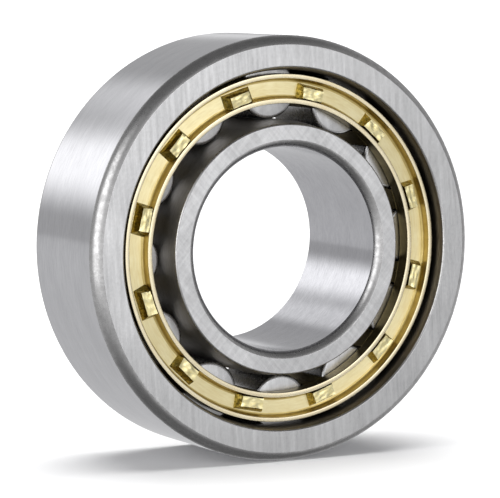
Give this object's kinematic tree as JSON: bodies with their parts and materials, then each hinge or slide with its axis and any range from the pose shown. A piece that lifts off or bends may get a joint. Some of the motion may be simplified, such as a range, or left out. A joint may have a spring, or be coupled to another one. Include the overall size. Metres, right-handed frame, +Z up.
{
  "type": "cylindrical roller bearing",
  "caption": "Single-row radial bearing with cylindrical rollers in a riveted machined brass cage, a flanged outer ring and a flangeless inner ring that slides out along the axis.",
  "frame": {"origin": "centre of the bearing, on its axis, halfway between its two faces", "axes": "+Y along the bearing axis, away from the cage's riveted end plate; -Y is the front face with the tenon heads; +Z up with the bearing standing on its rim"},
  "size_m": [0.052, 0.018, 0.052],
  "materials": {
    "ring_steel": "hardened bearing steel, ground faces with fine straight marks, honed raceways, darker turned corners",
    "roller_steel": "hardened bearing steel, superfinished and mirror bright, ends ground",
    "cage_brass": "turned and milled brass, pale and satin, with hammered tenon heads"
  },
  "bodies": {
    "outer_ring": {"outer_ring": "ring_steel"},
    "inner_ring": {"inner_ring": "ring_steel"},
    "cage": {"cage_body": "cage_brass", "cage_end_plate": "cage_brass"},
    "roller_01": {"roller_01": "roller_steel"},
    "roller_02": {"roller_02": "roller_steel"},
    "roller_03": {"roller_03": "roller_steel"},
    "roller_04": {"roller_04": "roller_steel"},
    "roller_05": {"roller_05": "roller_steel"},
    "roller_06": {"roller_06": "roller_steel"},
    "roller_07": {"roller_07": "roller_steel"},
    "roller_08": {"roller_08": "roller_steel"},
    "roller_09": {"roller_09": "roller_steel"},
    "roller_10": {"roller_10": "roller_steel"},
    "roller_11": {"roller_11": "roller_steel"},
    "roller_12": {"roller_12": "roller_steel"}
  },
  "joints": [
    {"name": "inner_ring_spin", "type": "hinge", "parent": "outer_ring", "child": "inner_ring", "pos_m": [0, 0, 0], "axis": [0, 1, 0], "continuous": true},
    {"name": "cage_spin", "type": "hinge", "parent": "outer_ring", "child": "cage", "pos_m": [0, 0, 0], "axis": [0, 1, 0], "continuous": true},
    {"name": "roller_01_spin", "type": "hinge", "parent": "cage", "child": "roller_01", "pos_m": [-0.00085, 0, 0.01948], "axis": [0, 1, 0], "continuous": true},
    {"name": "roller_02_spin", "type": "hinge", "parent": "cage", "child": "roller_02", "pos_m": [-0.01048, 0, 0.01645], "axis": [0, 1, 0], "continuous": true},
    {"name": "roller_03_spin", "type": "hinge", "parent": "cage", "child": "roller_03", "pos_m": [-0.0173, 0, 0.009], "axis": [0, 1, 0], "continuous": true},
    {"name": "roller_04_spin", "type": "hinge", "parent": "cage", "child": "roller_04", "pos_m": [-0.01948, 0, -0.00085], "axis": [0, 1, 0], "continuous": true},
    {"name": "roller_05_spin", "type": "hinge", "parent": "cage", "child": "roller_05", "pos_m": [-0.01645, 0, -0.01048], "axis": [0, 1, 0], "continuous": true},
    {"name": "roller_06_spin", "type": "hinge", "parent": "cage", "child": "roller_06", "pos_m": [-0.009, 0, -0.0173], "axis": [0, 1, 0], "continuous": true},
    {"name": "roller_07_spin", "type": "hinge", "parent": "cage", "child": "roller_07", "pos_m": [0.00085, 0, -0.01948], "axis": [0, 1, 0], "continuous": true},
    {"name": "roller_08_spin", "type": "hinge", "parent": "cage", "child": "roller_08", "pos_m": [0.01048, 0, -0.01645], "axis": [0, 1, 0], "continuous": true},
    {"name": "roller_09_spin", "type": "hinge", "parent": "cage", "child": "roller_09", "pos_m": [0.0173, 0, -0.009], "axis": [0, 1, 0], "continuous": true},
    {"name": "roller_10_spin", "type": "hinge", "parent": "cage", "child": "roller_10", "pos_m": [0.01948, 0, 0.00085], "axis": [0, 1, 0], "continuous": true},
    {"name": "roller_11_spin", "type": "hinge", "parent": "cage", "child": "roller_11", "pos_m": [0.01645, 0, 0.01048], "axis": [0, 1, 0], "continuous": true},
    {"name": "roller_12_spin", "type": "hinge", "parent": "cage", "child": "roller_12", "pos_m": [0.009, 0, 0.0173], "axis": [0, 1, 0], "continuous": true}
  ],
  "couplings": [
    {"joint": "cage_spin", "follows": "inner_ring_spin", "ratio": 0.40385},
    {"joint": "roller_01_spin", "follows": "inner_ring_spin", "ratio": -2.5038},
    {"joint": "roller_02_spin", "follows": "inner_ring_spin", "ratio": -2.5038},
    {"joint": "roller_03_spin", "follows": "inner_ring_spin", "ratio": -2.5038},
    {"joint": "roller_04_spin", "follows": "inner_ring_spin", "ratio": -2.5038},
    {"joint": "roller_05_spin", "follows": "inner_ring_spin", "ratio": -2.5038},
    {"joint": "roller_06_spin", "follows": "inner_ring_spin", "ratio": -2.5038},
    {"joint": "roller_07_spin", "follows": "inner_ring_spin", "ratio": -2.5038},
    {"joint": "roller_08_spin", "follows": "inner_ring_spin", "ratio": -2.5038},
    {"joint": "roller_09_spin", "follows": "inner_ring_spin", "ratio": -2.5038},
    {"joint": "roller_10_spin", "follows": "inner_ring_spin", "ratio": -2.5038},
    {"joint": "roller_11_spin", "follows": "inner_ring_spin", "ratio": -2.5038},
    {"joint": "roller_12_spin", "follows": "inner_ring_spin", "ratio": -2.5038}
  ]
}
